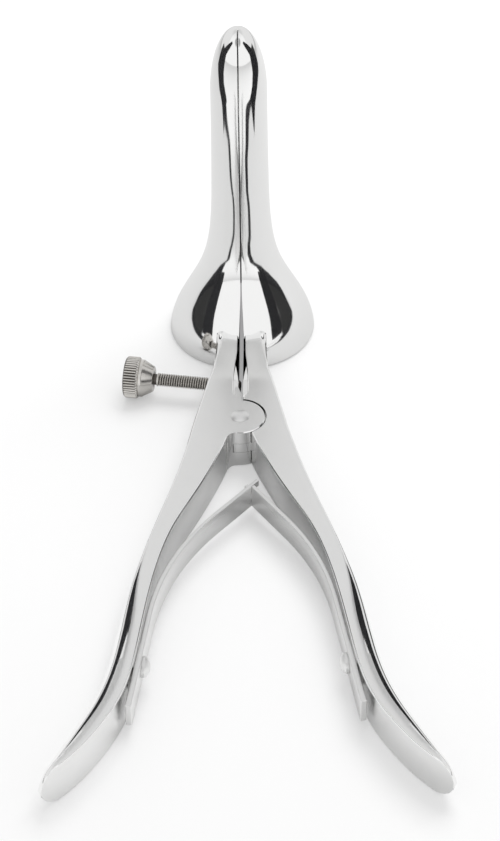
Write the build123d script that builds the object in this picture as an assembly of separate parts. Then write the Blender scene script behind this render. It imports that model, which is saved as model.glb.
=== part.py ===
from build123d import *
import os
from math import asin, cos, degrees, pi, radians, sin, sqrt, tan

# Two-blade speculum, lying on the backs of its handles and on the mouth of its bell.
# Millimetres. The origin is on the pivot's axis, in the plane of the table. X runs to the right, Y runs
# from the handles to the blades, and Z runs up, along the pivot and along the blades.
# Each half is drawn on the side where X is positive, and the left one is then mirrored.

# Levers, necks and handles
lever_depth = 12.5
neck_gap = 1.4
neck_half_width_at_pivot = 12.9
neck_half_width_at_bell = 7.6
neck_bell_from_pivot = 26.0
neck_end_from_pivot = 46.0
neck_stations = [46.0, 34.0, 22.0, 12.0]
neck_bevel_width = 1.3
neck_bevel_depth = 0.5
neck_bevel_start = 8.0
web_radius = 7.0
web_turn = 65.0
web_bite = 0.2
edge_round = 0.8
handle_length = 132.4
handle_lean = 1.3
lean_share = 0.1

# Plan of a handle: X of its inner and outer side, at shares of the handle's length
inner_side = [(1.6, 0.0), (3.3, 0.055), (7.2, 0.14), (13.0, 0.243), (18.0, 0.325), (22.0, 0.42),
              (24.6, 0.515), (26.8, 0.625), (28.7, 0.72), (31.6, 0.805), (35.6, 0.866), (40.0, 0.918),
              (45.8, 0.969), (50.4, 1.0)]
outer_side = [(neck_half_width_at_pivot, 0.0), (16.2, 0.12), (20.0, 0.23), (23.3, 0.315),
              (27.1, 0.415), (30.5, 0.505), (33.2, 0.6), (35.2, 0.69), (37.9, 0.765), (41.9, 0.836),
              (47.3, 0.918), (50.3, 0.97), (51.6, 1.0)]
# Shares of the length at which the handle's section is drawn
stations = [0.0, 0.06, 0.14, 0.23, 0.315, 0.4, 0.48, 0.56, 0.64, 0.71, 0.775, 0.835, 0.89, 0.935,
            0.966, 0.984, 0.994, 0.999]
back_round_start = 0.36
back_round_end = 0.62
rim_flat = 1.0

# Hollow along the inner side of a handle
recess_start = 14.0
recess_end = 108.0
recess_depth = 1.5
recess_rim = 1.1
spring_pad_length = 9.0

# Box joint
ear_radius = 7.2
ear_gap = 0.35
ear_fillet = 2.6
stop_top_from_pivot = 13.0
stop_nose_from_pivot = 9.3
stop_gap = 0.35
tongue_bottom = 5.1
tongue_thickness = 3.1
layer_gap = 0.06
pivot_diameter = 3.5
pivot_running_gap = 0.06
pivot_fit_gap = 0.01
pivot_head_diameter = 5.2
pivot_head_height = 1.1
pivot_head_skirt = 0.15

# Blades and bell: radius at heights above the mouth
blade_centre = 57.5
blade_length = 105.5
nose_length = 20.5
blade_wall = 1.25
mouth_radius = 21.8
mouth_round = 0.4
flare = [(20.2, 7.0), (16.4, 15.0), (11.4, 26.0), (8.8, 40.0)]
blade_root_radius = 8.2
blade_root_height = 55.0
blade_tip_radius = 7.9
seam_gap = 0.4

# Springs
spring_width = 7.5
spring_root_thickness = 1.6
spring_tip_thickness = 1.1
spring_rivet_from_pivot = 90.5
spring_foot_length = 17.0
spring_knee_from_pivot = 54.0
spring_knee_radius = 75.0
spring_apex_right = 2.8
spring_apex_from_pivot = 26.0
spring_prong_length = 2.4
spring_tongue_length = 2.6
spring_tongue_width = 3.0
spring_slot_gap = 0.35
spring_shoulder_gap = 0.1
spring_rivet_diameter = 2.8
spring_rivet_head_diameter = 5.6
spring_rivet_skirt = 0.8
spring_rivet_head_height = 2.0
spring_rivet_seat_gap = 0.02

# Thumb screw
screw_from_pivot = 20.2
screw_tilt = 8.5
screw_diameter = 4.0
screw_hole_gap = 0.08
screw_tip_gap = 0.8
screw_tip_chamfer = 0.5
screw_stud_length = 25.6
screw_neck_diameter = 3.2
screw_neck_length = 1.0
screw_cone_diameter = 7.8
screw_shoulder_diameter = 11.0
screw_cone_length = 3.2
screw_ring_length = 1.0
screw_head_diameter = 12.3
screw_head_length = 4.2
screw_head_chamfer = 0.5
knurl_teeth = 36
knurl_depth = 0.45

mid_height = lever_depth / 2
# How far the handles of a quarter round reach, as a share of its radius
round_pull = 0.5523
tongue_top = tongue_bottom + tongue_thickness
pocket_radius = ear_radius + ear_gap


def smooth_step(value):
    share = min(1.0, max(0.0, value))
    return share * share * (3 - 2 * share)


def plan_curve(points):
    """A smooth line in the plan, through points given as X and share of the handle's length."""
    return Spline(*[(x, -share * handle_length) for x, share in points])


inner_curve = plan_curve(inner_side)
outer_curve = plan_curve(outer_side)


def share_at(curve, y):
    """Share of a curve's length at which it passes a given Y, for a curve that runs towards -Y."""
    low, high = 0.0, 1.0
    for _ in range(40):
        middle = (low + high) / 2
        if (curve @ middle).Y > y:
            low = middle
        else:
            high = middle
    return (low + high) / 2


def x_at(curve, y):
    return (curve @ share_at(curve, y)).X


def lever_section(y, inner, outer, round_x, round_z):
    """Section across a lever: straight on the inner side, with rounded edges on the outer side."""
    low, high = 0, lever_depth
    corner = outer - round_x
    return Face(Wire([
        Line((inner, y, low), (corner, y, low)),
        Bezier((corner, y, low), (corner + round_pull * round_x, y, low),
               (outer, y, low + (1 - round_pull) * round_z), (outer, y, low + round_z)),
        Line((outer, y, low + round_z), (outer, y, high - round_z)),
        Bezier((outer, y, high - round_z), (outer, y, high - (1 - round_pull) * round_z),
               (corner + round_pull * round_x, y, high), (corner, y, high)),
        Line((corner, y, high), (inner, y, high)),
        Line((inner, y, high), (inner, y, low))]))


def handle_section(share):
    """Section of a handle: a plain bar near the joint, round at the back from the middle down."""
    y = -share * handle_length
    inner = x_at(inner_curve, y)
    outer = x_at(outer_curve, y)
    roundness = smooth_step((share - back_round_start) / (back_round_end - back_round_start))
    flat = min(rim_flat, 0.3 * (outer - inner))
    round_x = edge_round + roundness * (outer - inner - flat - edge_round)
    round_z = edge_round + roundness * (0.94 * mid_height - edge_round)
    return lever_section(y, inner, outer, round_x, round_z)


def neck_section(y):
    return lever_section(y, neck_gap / 2, neck_half_width(y), edge_round, edge_round)


def neck_half_width(y):
    slope = (neck_half_width_at_pivot - neck_half_width_at_bell) / neck_bell_from_pivot
    return neck_half_width_at_pivot - slope * y


def tip_tool():
    """Tool that rounds the free end of a handle, seen square to its flat inner side."""
    tip, way = inner_curve @ 1, inner_curve % 1
    across = Plane(origin=(tip.X, tip.Y, mid_height), x_dir=(way.X, way.Y, 0), z_dir=(way.Y, -way.X, 0))
    corners = Rectangle(3 * mid_height, 3 * mid_height, align=(Align.MIN, Align.CENTER))
    waste = Location((-mid_height, 0)) * (corners - Circle(mid_height))
    return extrude(across * waste, lever_depth, both=True)


def turned(part, side, share=1.0):
    """The pair of handles leans a little to the right of the seam, with all that they carry."""
    return part.rotate(Axis.Z, side * handle_lean * share)


def plain_lever(side):
    """Neck and handle in one piece. Side is 1 on the right and -1 on the left."""
    neck_part = [neck_section(y) for y in neck_stations]
    handle_part = [turned(handle_section(share), side, smooth_step(share / lean_share))
                   for share in stations]
    return loft(neck_part + handle_part) - turned(tip_tool(), side)


def bell_side(wall):
    """Outline of bell and blades from the mouth to the nose, as radius and height, less a wall."""
    outline = [(mouth_radius, 0.0)] + flare + [(blade_root_radius, blade_root_height),
                                               (blade_tip_radius, blade_length - nose_length)]
    return Spline(*[(radius - wall, height) for radius, height in outline],
                  tangents=[(-0.05, 1), (0, 1)])


def nose_side(wall):
    """Outline of the closed end of the blades, from its foot to the tip, less a wall."""
    radius, rise, foot = blade_tip_radius - wall, nose_length - wall, blade_length - nose_length
    return Bezier((radius, foot), (radius, foot + round_pull * rise), (round_pull * radius, foot + rise),
                  (0, foot + rise))


def inside_of_wall():
    """Solid that ends in the middle of the wall of bell and blades."""
    wall = blade_wall / 2
    section = make_face([
        bell_side(wall),
        nose_side(wall),
        Line((0, blade_length - wall), (0, 0)),
        Line((0, 0), (mouth_radius - wall, 0))])
    return revolve(Plane.XZ * section, Axis.Z).moved(Location((0, blade_centre, 0)))


def web_start():
    """Where the top of the neck begins to curve up, so that it runs out along the bell."""
    top_height = lever_depth + web_radius * (1 - cos(radians(web_turn)))
    side = bell_side(0)
    low, high = 0.0, 1.0
    for _ in range(40):
        middle = (low + high) / 2
        if (side @ middle).Y < top_height:
            low = middle
        else:
            high = middle
    return blade_centre - (side @ low).X - web_radius * sin(radians(web_turn)) + web_bite


def neck_web():
    """Curved web that carries the top of the neck up on to the bell."""
    start = web_start()
    top = CenterArc((start, lever_depth + web_radius), web_radius, -90, web_turn)
    side = make_face([
        Line((start, mid_height), (start, lever_depth)),
        top,
        Line(top @ 1, (neck_end_from_pivot, (top @ 1).Y)),
        Line((neck_end_from_pivot, (top @ 1).Y), (neck_end_from_pivot, mid_height)),
        Line((neck_end_from_pivot, mid_height), (start, mid_height))])
    plan = make_face(Polyline(
        (neck_gap / 2, start), (neck_gap / 2, neck_end_from_pivot),
        (neck_half_width(neck_end_from_pivot), neck_end_from_pivot), (neck_half_width(start), start),
        (neck_gap / 2, start)))
    return extrude(Plane.YZ * side, neck_half_width_at_pivot) & extrude(plan, 2 * lever_depth)


def neck_bevel():
    """Tool that bevels the top of the neck along the seam."""
    past = 1
    section = make_face(Polyline(
        (neck_gap / 2 - past, lever_depth + past), (neck_gap / 2 + neck_bevel_width, lever_depth + past),
        (neck_gap / 2 + neck_bevel_width, lever_depth), (neck_gap / 2, lever_depth - neck_bevel_depth),
        (neck_gap / 2 - past, lever_depth - neck_bevel_depth),
        (neck_gap / 2 - past, lever_depth + past)))
    length = web_start() - neck_bevel_start
    return extrude(Plane.XZ * section, -length).moved(Location((0, neck_bevel_start, 0)))


def blade_half():
    """Half of the bell and blades: half a turn of the wall's section, with a rounded rim."""
    section = make_face([
        bell_side(0),
        nose_side(0),
        Line((0, blade_length), (0, blade_length - blade_wall)),
        nose_side(blade_wall),
        bell_side(blade_wall),
        Line((mouth_radius - blade_wall, 0), (mouth_radius, 0))])
    section = fillet(section.vertices().group_by(Axis.Y)[0], mouth_round)
    half = revolve(Plane.XZ * section, Axis.Z, 180).rotate(Axis.Z, -90)
    return half.moved(Location((seam_gap / 2, blade_centre, 0)))


def seat_plane():
    """Where a spring is riveted to its handle: X runs down the handle and Z out of its inner side."""
    share = share_at(inner_curve, -spring_rivet_from_pivot)
    place = inner_curve @ share
    down = inner_curve % share
    return Plane(origin=(place.X, place.Y, mid_height), x_dir=(down.X, down.Y, 0),
                 z_dir=(down.Y, -down.X, 0))


def recess_section(share, fullness):
    """Section of the tool that hollows a handle: a flat arch that stands out of the inner side."""
    y = -(recess_start + (recess_end - recess_start) * share)
    face_x = x_at(inner_curve, y)
    half_width = (mid_height - recess_rim) * fullness
    low, high = mid_height - half_width, mid_height + half_width
    return Face(Wire([
        Line((face_x - 1, y, low), (face_x, y, low)),
        ThreePointArc((face_x, y, low), (face_x + recess_depth * fullness, y, mid_height),
                      (face_x, y, high)),
        Line((face_x, y, high), (face_x - 1, y, high)),
        Line((face_x - 1, y, high), (face_x - 1, y, low))]))


def recess_tool():
    """Tool for the hollow, with the pad left standing on which the spring seats."""
    ends = [(0.0, 0.3), (0.04, 0.7), (0.1, 0.97)]
    middle = [(0.1 + 0.08 * step, 1.0) for step in range(1, 10)]
    tip = [(0.9, 0.96), (0.95, 0.8), (0.98, 0.52), (1.0, 0.15)]
    tool = loft([recess_section(share, fullness) for share, fullness in ends + middle + tip])
    pad = seat_plane() * Box(spring_pad_length, lever_depth, 4 * recess_depth)
    return tool - pad


def spring_rivet_shank():
    reach = lever_depth
    shank = Cylinder(spring_rivet_diameter / 2, reach, align=(Align.CENTER, Align.CENTER, Align.MAX))
    return seat_plane() * shank


def lever(side):
    """Neck and handle with the web, the bevel, the hollow of the handle and the rivet's hole."""
    bar = plain_lever(side) + neck_web() - neck_bevel() - inside_of_wall()
    return bar - turned(recess_tool(), side) - turned(spring_rivet_shank(), side)


def ear_layer(radius, low, high):
    return Cylinder(radius, high - low, align=(Align.CENTER, Align.CENTER, Align.MIN)).moved(
        Location((0, 0, low)))


def screw_plane():
    """Plane across the screw's tip. Its Z runs along the screw to the head."""
    along = (cos(radians(screw_tilt)), sin(radians(screw_tilt)))
    tip_x = screw_tip_gap - neck_gap / 2
    tip_y = screw_from_pivot + tip_x * tan(radians(screw_tilt))
    return Plane(origin=(tip_x, tip_y, mid_height), x_dir=(0, 0, 1), z_dir=(along[0], along[1], 0))


def ear_web():
    """Fills the corner between the ears and the inner side of the left handle, with a hollow round."""
    upper = turned(Vertex(*(inner_curve @ share_at(inner_curve, -1.4 * ear_radius))), -1)
    lower = turned(Vertex(*(inner_curve @ share_at(inner_curve, -2.2 * ear_radius))), -1)
    way = Vector(lower.X - upper.X, lower.Y - upper.Y).normalized()
    away = Vector(way.Y, -way.X)
    touch = 0.97 * ear_fillet
    aside = away.X * upper.X + away.Y * upper.Y + touch
    centre = away * aside + way * sqrt((ear_radius + touch) ** 2 - aside ** 2)
    inside = centre - away * (2 * ear_fillet)
    corner = make_face(Polyline((0, 0), (centre.X, centre.Y), (inside.X, inside.Y), (0, 0)))
    corner -= Location((centre.X, centre.Y, 0)) * Circle(ear_fillet)
    return extrude(corner, lever_depth)


def stop_nose():
    """Small nose on the left neck that closes the gap between the necks, just above the ears."""
    gap_side, nose_side_x = neck_gap / 2, stop_gap - neck_gap / 2
    plan = make_face(Polyline(
        (gap_side + edge_round, stop_top_from_pivot), (gap_side, stop_top_from_pivot),
        (nose_side_x, stop_nose_from_pivot), (nose_side_x, 0), (gap_side + edge_round, 0),
        (gap_side + edge_round, stop_top_from_pivot)))
    return extrude(plan, lever_depth)


def left_blank():
    """Left half drawn on the right side: neck, two ears and handle, with a slot for the tongue."""
    half = lever(-1) + ear_layer(ear_radius, 0, lever_depth) + ear_web() + stop_nose()
    half -= ear_layer(pocket_radius, tongue_bottom - layer_gap, tongue_top + layer_gap)
    half -= ear_layer(pivot_diameter / 2 + pivot_fit_gap, -1, lever_depth + 1)
    half += blade_half()
    hole = Cylinder(screw_diameter / 2 + screw_hole_gap, screw_stud_length,
                    align=(Align.CENTER, Align.CENTER, Align.CENTER))
    return half - screw_plane() * hole


def left_half():
    return mirror(left_blank(), Plane.YZ)


def right_half():
    """Right half: neck, handle and the tongue that turns between the ears of the left half."""
    half = lever(1) + ear_layer(ear_radius, tongue_bottom, tongue_top)
    half -= ear_layer(pocket_radius, -1, tongue_bottom)
    half -= ear_layer(pocket_radius, tongue_top, lever_depth + 1)
    half -= ear_layer(pivot_diameter / 2 + pivot_running_gap, -1, lever_depth + 1)
    return half + blade_half()


def rivet_head(diameter, skirt, height):
    """Head of a rivet, standing on Z = 0: a low straight skirt under a round top."""
    rise = height - skirt
    ball = (diameter ** 2 / 4 + rise ** 2) / (2 * rise)
    spread = degrees(asin(diameter / 2 / ball))
    top = CenterArc((0, height - ball), ball, 90 - spread, spread)
    section = make_face([
        top,
        Line(top @ 1, (0, 0)),
        Line((0, 0), (diameter / 2, 0)),
        Line((diameter / 2, 0), top @ 0)])
    return revolve(Plane.XZ * section, Axis.Z)


def pivot_rivet():
    """Rivet of the box joint: domed above, ground flush below."""
    head = rivet_head(pivot_head_diameter, pivot_head_skirt, pivot_head_height)
    return ear_layer(pivot_diameter / 2, 0, lever_depth) + head.moved(Location((0, 0, lever_depth)))


def left_normal(direction):
    return Vector(-direction.Y, direction.X)


def spring_knee():
    """Where the line of a spring's foot ends and the spring turns towards the other one."""
    seat = seat_plane()
    place, down = Vector(seat.origin.X, seat.origin.Y), seat.x_dir
    return place - down * ((place.Y + spring_knee_from_pivot) / down.Y)


def spring_directions(apex):
    """Directions of a spring's foot and of its upper end, both towards the joint."""
    return -seat_plane().x_dir, (apex - spring_knee()).normalized()


def spring_strip(apex, overrun):
    """A spring from its free foot to a distance past the apex, as thick as it is there, in the plan."""
    seat = seat_plane()
    foot_way, end_way = spring_directions(apex)
    foot = Vector(seat.origin.X, seat.origin.Y) - foot_way * spring_foot_length
    knee = spring_knee()
    end = apex + end_way * overrun
    out, end_out = left_normal(foot_way), left_normal(end_way)
    knee_thickness = (spring_root_thickness + spring_tip_thickness) / 2
    near = FilletPolyline(foot, knee, end - end_out * (spring_tip_thickness / 2),
                          radius=spring_knee_radius + knee_thickness)
    far = FilletPolyline(foot + out * spring_root_thickness, knee + out * knee_thickness,
                         end + end_out * (spring_tip_thickness / 2), radius=spring_knee_radius)
    return Face(Wire([*near.edges(), *far.edges(), Line(near @ 0, far @ 0), Line(near @ 1, far @ 1)]))


def strip_solid(plan, width):
    return extrude(plan, width).moved(Location((0, 0, mid_height - width / 2)))


def along_spring(apex, length, thickness, width):
    """A block that follows the upper end of a spring, centred on the apex."""
    end_way = spring_directions(apex)[1]
    return Plane(origin=(apex.X, apex.Y, mid_height), x_dir=(end_way.X, end_way.Y, 0),
                 z_dir=(0, 0, 1)) * Box(length, thickness, width)


def apex_on(side):
    """Where the springs cross, in the drawing of the right half (1) or of the left half (-1)."""
    return Vector(side * spring_apex_right, -spring_apex_from_pivot)


def apex_angle():
    """Angle between the two springs where they cross."""
    right_way = spring_directions(apex_on(1))[1]
    left_way = spring_directions(apex_on(-1))[1]
    return right_way.get_angle(Vector(-left_way.X, left_way.Y))


def reach_across(thickness):
    """Half the length, along one spring, that the other one needs to pass through it."""
    angle = radians(apex_angle())
    return thickness / 2 / sin(angle) + spring_tip_thickness / 2 / abs(tan(angle))


def left_spring():
    """Spring of the left half. Its forked end lets the tongue of the other spring through."""
    apex = apex_on(-1)
    strip = strip_solid(spring_strip(apex, spring_prong_length), spring_width)
    slot_start = reach_across(spring_tip_thickness) + spring_slot_gap
    slot_length = slot_start + spring_prong_length
    slot = along_spring(apex, 2 * slot_length, 4 * spring_tip_thickness,
                        spring_tongue_width + 2 * spring_slot_gap)
    way = spring_directions(apex)[1]
    slot = slot.moved(Location(way * (slot_length - slot_start)))
    strip = strip - slot - spring_hole()
    return mirror(turned(strip, -1), Plane.YZ)


def right_spring():
    """Spring of the right half. A narrow tongue goes on past its shoulders, through the fork."""
    apex = apex_on(1)
    shoulder = reach_across(spring_tip_thickness) + spring_shoulder_gap
    broad = strip_solid(spring_strip(apex, -shoulder), spring_width)
    tongue = strip_solid(spring_strip(apex, spring_tongue_length), spring_tongue_width)
    return turned(broad + tongue - spring_hole(), 1)


def spring_hole():
    return seat_plane() * Cylinder(spring_rivet_diameter / 2, 4 * spring_root_thickness)


def thickness_at_rivet():
    """Thickness of a spring at its rivet, between its thick foot and its knee."""
    to_knee = (spring_knee() - Vector(seat_plane().origin.X, seat_plane().origin.Y)).length
    share = spring_foot_length / (spring_foot_length + to_knee)
    return spring_root_thickness - share * (spring_root_thickness - spring_tip_thickness) / 2


def spring_rivet(side):
    """Rivet that holds a spring on its handle, ground flush at the back of the handle."""
    height = thickness_at_rivet() + spring_rivet_seat_gap
    in_handle = turned(spring_rivet_shank(), side) & plain_lever(side)
    in_spring = Cylinder(spring_rivet_diameter / 2, height + edge_round,
                         align=(Align.CENTER, Align.CENTER, Align.MIN)).moved(
                             Location((0, 0, -edge_round)))
    head = rivet_head(spring_rivet_head_diameter, spring_rivet_skirt, spring_rivet_head_height)
    outer_end = seat_plane() * (in_spring + head.moved(Location((0, 0, height))))
    return in_handle + turned(outer_end, side)


def knurled_drum():
    """Head of the screw: a drum with straight teeth, chamfered at both ends."""
    outside = screw_head_diameter / 2
    points = [
        (radius * cos(pi * step / knurl_teeth), radius * sin(pi * step / knurl_teeth))
        for step in range(2 * knurl_teeth)
        for radius in [outside - knurl_depth * (step % 2)]]
    teeth = extrude(make_face(Polyline(*points, close=True)), screw_head_length)
    drum = Cylinder(outside, screw_head_length, align=(Align.CENTER, Align.CENTER, Align.MIN))
    return teeth & chamfer(drum.edges().filter_by(GeomType.CIRCLE), screw_head_chamfer)


def thumb_screw():
    """Screw turned from one bar: stud, neck, cone, ring and knurled head, from the tip outwards."""
    stud = screw_diameter / 2
    neck_start = screw_stud_length
    cone_start = neck_start + screw_neck_length
    ring_start = cone_start + screw_cone_length
    drum_start = ring_start + screw_ring_length
    outline = Polyline(
        (0, 0), (stud - screw_tip_chamfer, 0), (stud, screw_tip_chamfer), (stud, neck_start),
        (screw_neck_diameter / 2, neck_start), (screw_neck_diameter / 2, cone_start),
        (screw_cone_diameter / 2, cone_start), (screw_shoulder_diameter / 2, ring_start),
        (screw_shoulder_diameter / 2, drum_start), (0, drum_start), (0, 0))
    shaft = revolve(Plane.XZ * make_face(outline), Axis.Z)
    screw = shaft + knurled_drum().moved(Location((0, 0, drum_start)))
    return mirror(screw_plane() * screw, Plane.YZ)


parts = {
    "left_half": left_half(),
    "right_half": right_half(),
    "pivot_rivet": pivot_rivet(),
    "left_spring": left_spring(),
    "right_spring": right_spring(),
    "left_spring_rivet": mirror(spring_rivet(-1), Plane.YZ),
    "right_spring_rivet": spring_rivet(1),
    "thumb_screw": thumb_screw(),
}

os.makedirs("parts", exist_ok=True)
for name, shape in parts.items():
    export_step(shape, f"parts/{name}.step")
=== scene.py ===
# %% [markdown]
# # A polished two-blade speculum
# The instrument lies on the flat sides of its levers and on the mouth of its bell, and its two blades stand
# up. It has eight pieces: two forged halves, the rivet of their box joint, two leaf springs with a rivet
# each, and a thumb screw. The frame that is loaded first holds every piece at its place, in metres. Here
# each piece is modelled again with fine, smooth faces, because polished steel shows every facet.

# %% Load the frame
import math

import bmesh
import bpy
import numpy as np
from mathutils import Matrix, Vector


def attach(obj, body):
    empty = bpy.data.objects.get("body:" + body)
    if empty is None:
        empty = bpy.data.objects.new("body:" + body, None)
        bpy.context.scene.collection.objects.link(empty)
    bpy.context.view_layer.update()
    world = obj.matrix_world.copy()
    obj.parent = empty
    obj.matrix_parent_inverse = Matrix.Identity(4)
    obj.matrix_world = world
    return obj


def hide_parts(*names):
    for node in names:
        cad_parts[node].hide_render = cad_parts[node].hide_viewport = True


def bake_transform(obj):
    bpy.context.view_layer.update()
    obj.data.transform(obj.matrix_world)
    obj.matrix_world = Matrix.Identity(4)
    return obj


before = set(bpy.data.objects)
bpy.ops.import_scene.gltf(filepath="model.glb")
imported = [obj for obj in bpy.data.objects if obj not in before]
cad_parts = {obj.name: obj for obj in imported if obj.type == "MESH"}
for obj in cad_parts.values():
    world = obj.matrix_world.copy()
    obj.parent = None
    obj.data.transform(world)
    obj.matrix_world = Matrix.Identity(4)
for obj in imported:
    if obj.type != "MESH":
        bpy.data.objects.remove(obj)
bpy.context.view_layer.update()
scene = bpy.context.scene
MM = 0.001
print("nodes:", sorted(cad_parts))

# %% [markdown]
# ## Camera
# The picture is taken from in front of the handles, 41 degrees above the table, with a long lens. The lens
# keeps the handles and the blades at nearly the same scale. The camera was held a little askew, so it has a
# small turn to the side and a small roll.

# %% Camera
def aim_camera(aim, distance, elevation, azimuth, roll, lens):
    """A camera that looks at a point from a distance. Angles are in degrees."""
    data = bpy.data.cameras.new("camera")
    data.lens = lens
    data.sensor_width = 36
    data.clip_start = 0.01
    camera = bpy.data.objects.new("camera", data)
    scene.collection.objects.link(camera)
    up_angle, side_angle, roll_angle = (math.radians(a) for a in (elevation, azimuth, roll))
    ahead = Vector((math.sin(side_angle) * math.cos(up_angle),
                    math.cos(side_angle) * math.cos(up_angle), -math.sin(up_angle)))
    right = Vector((math.cos(side_angle), -math.sin(side_angle), 0))
    up = right.cross(ahead)
    across = right * math.cos(roll_angle) + up * math.sin(roll_angle)
    upright = up * math.cos(roll_angle) - right * math.sin(roll_angle)
    camera.matrix_world = (Matrix.Translation(Vector(aim) - ahead * distance)
                           @ Matrix((across, upright, -ahead)).transposed().to_4x4())
    scene.camera = camera
    return camera


camera = aim_camera(aim=(0.00261, 0.01248, 0), distance=0.6839, elevation=40.99, azimuth=-0.884,
                    roll=-0.804, lens=100)
print("camera at", [round(x, 3) for x in camera.matrix_world.translation])

# %% [markdown]
# ## Working helpers
# An operator acts on all that is selected, so each piece starts with nothing selected. A piece that is
# drawn ring by ring keeps a number on each point of its ring. Extruding copies that number, so every new
# ring can be set in place by a plain formula for its points.

# %% Helpers for pieces
weld_distance = 1e-6


def fresh():
    """Leave edit mode and select nothing."""
    if bpy.context.mode != "OBJECT":
        bpy.ops.object.mode_set(mode="OBJECT")
    for piece in list(bpy.context.selected_objects):
        piece.select_set(False)


def pick(piece):
    """Select this piece alone."""
    fresh()
    bpy.context.view_layer.objects.active = piece
    piece.select_set(True)


def named(name):
    """Name the newest piece and its mesh."""
    piece = bpy.context.view_layer.objects.active
    piece.name = name
    piece.data.name = name
    return piece


def settle(piece, angle=25):
    """Put the place into the mesh, turn the faces outwards and shade smoothly up to an angle."""
    pick(piece)
    bpy.ops.object.transform_apply(location=True, rotation=True, scale=True)
    bpy.ops.object.mode_set(mode="EDIT")
    bpy.ops.mesh.select_all(action="SELECT")
    bpy.ops.mesh.remove_doubles(threshold=weld_distance)
    bpy.ops.mesh.normals_make_consistent(inside=False)
    bpy.ops.object.mode_set(mode="OBJECT")
    bpy.ops.object.shade_smooth_by_angle(angle=math.radians(angle))
    return piece


def apply_modifier(piece, kind, **settings):
    pick(piece)
    modifier = piece.modifiers.new(kind.lower(), kind)
    for name, value in settings.items():
        setattr(modifier, name, value)
    bpy.ops.object.modifier_apply(modifier=modifier.name)
    return piece


def merge(base, tool, operation):
    """Join, cut or keep the overlap of two closed pieces. The tool is used up."""
    apply_modifier(base, "BOOLEAN", operation=operation, solver="EXACT", object=tool)
    bpy.data.objects.remove(tool)


def triangles(piece):
    return sum(len(p.vertices) - 2 for p in piece.data.polygons)


def open_edges(piece):
    """Number of edges that don't lie between exactly two faces."""
    mesh = bmesh.new()
    mesh.from_mesh(piece.data)
    count = sum(1 for edge in mesh.edges if len(edge.link_faces) != 2)
    mesh.free()
    return count


def report(piece):
    points = np.array([vert.co for vert in piece.data.vertices]) / MM
    print(f"{piece.name}: {triangles(piece)} triangles, {open_edges(piece)} open edges,",
          "from", points.min(axis=0).round(2), "to", points.max(axis=0).round(2), "mm")


def loop_piece(name, points, fill="NOTHING"):
    """A closed loop of edges through points in mm."""
    fresh()
    bpy.ops.mesh.primitive_circle_add(vertices=len(points), radius=1, fill_type=fill)
    piece = named(name)
    for vert, point in zip(piece.data.vertices, points):
        vert.co = Vector(point) * MM
    return piece


def ring_piece(name, rings):
    """A closed piece drawn through rings of points in mm, all with the same number of points."""
    piece = loop_piece(name, rings[0], fill="NGON")
    bpy.ops.object.mode_set(mode="EDIT")
    mesh = bmesh.from_edit_mesh(piece.data)
    column = mesh.verts.layers.int.new("column")
    for number, vert in enumerate(mesh.verts):
        vert[column] = number
    for ring in rings[1:]:
        bpy.ops.mesh.extrude_region_move()
        mesh = bmesh.from_edit_mesh(piece.data)
        column = mesh.verts.layers.int["column"]
        for vert in mesh.verts:
            if vert.select:
                vert.co = Vector(ring[vert[column]]) * MM
        bmesh.update_edit_mesh(piece.data)
    bpy.ops.object.mode_set(mode="OBJECT")
    return piece


def plan_block(name, outline, low, high):
    """A block with an outline in plan, between two heights."""
    return settle(ring_piece(name, [[(x, y, z) for x, y in outline] for z in (low, high)]))


def spin_loop(steps, angle=2 * math.pi, centre_y=0.0):
    """Spin the newest loop round an upright axis and weld where it meets itself. Edit mode stays on."""
    bpy.ops.object.mode_set(mode="EDIT")
    bpy.ops.mesh.select_all(action="SELECT")
    bpy.ops.mesh.spin(steps=steps, angle=angle, center=(0, centre_y * MM, 0), axis=(0, 0, 1))
    bpy.ops.mesh.select_all(action="SELECT")
    bpy.ops.mesh.remove_doubles(threshold=weld_distance)


def spun_piece(name, profile, steps):
    """A turned piece: a profile of radius and height is spun round the Z axis."""
    piece = loop_piece(name, [(radius, 0, height) for radius, height in profile])
    spin_loop(steps)
    bpy.ops.mesh.select_all(action="SELECT")
    bpy.ops.mesh.delete_loose(use_verts=True, use_edges=True, use_faces=False)
    bpy.ops.object.mode_set(mode="OBJECT")
    return piece


# %% [markdown]
# ## Lines through measured points
# The outlines were measured at a few points. A cubic spline through them has no corner and no sudden
# change of curvature, so reflections run along it without a break.

# %% Smooth line through points
def smooth_line(points, ends=(None, None)):
    """Function that gives the point at a share of a cubic spline through the points. Ends are slopes."""
    p = np.array(points, float)
    chord = np.linalg.norm(np.diff(p, axis=0), axis=1)
    t = np.concatenate([[0], np.cumsum(chord)])
    n = len(p)
    rows, right = np.zeros((n, n)), np.zeros_like(p)
    for i in range(1, n - 1):
        a, b = chord[i - 1], chord[i]
        rows[i, i - 1], rows[i, i], rows[i, i + 1] = b, 2 * (a + b), a
        right[i] = 3 * (b * (p[i] - p[i - 1]) / a + a * (p[i + 1] - p[i]) / b)
    for i, j, slope in ((0, 1, ends[0]), (n - 1, n - 2, ends[1])):
        if slope is None:
            rows[i, i], rows[i, j] = 2, 1
            right[i] = 3 * (p[j] - p[i]) / (t[j] - t[i])
        else:
            rows[i, i] = 1
            right[i] = slope
    tangent = np.linalg.solve(rows, right)

    def at(share):
        u = min(max(share, 0), 1) * t[-1]
        i = min(int(np.searchsorted(t, u, side="right")) - 1, n - 2)
        h = chord[i]
        s = (u - t[i]) / h
        return ((1 + 2 * s) * (1 - s) ** 2 * p[i] + s * (1 - s) ** 2 * h * tangent[i]
                + s * s * (3 - 2 * s) * p[i + 1] + s * s * (s - 1) * h * tangent[i + 1])
    return at


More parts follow.
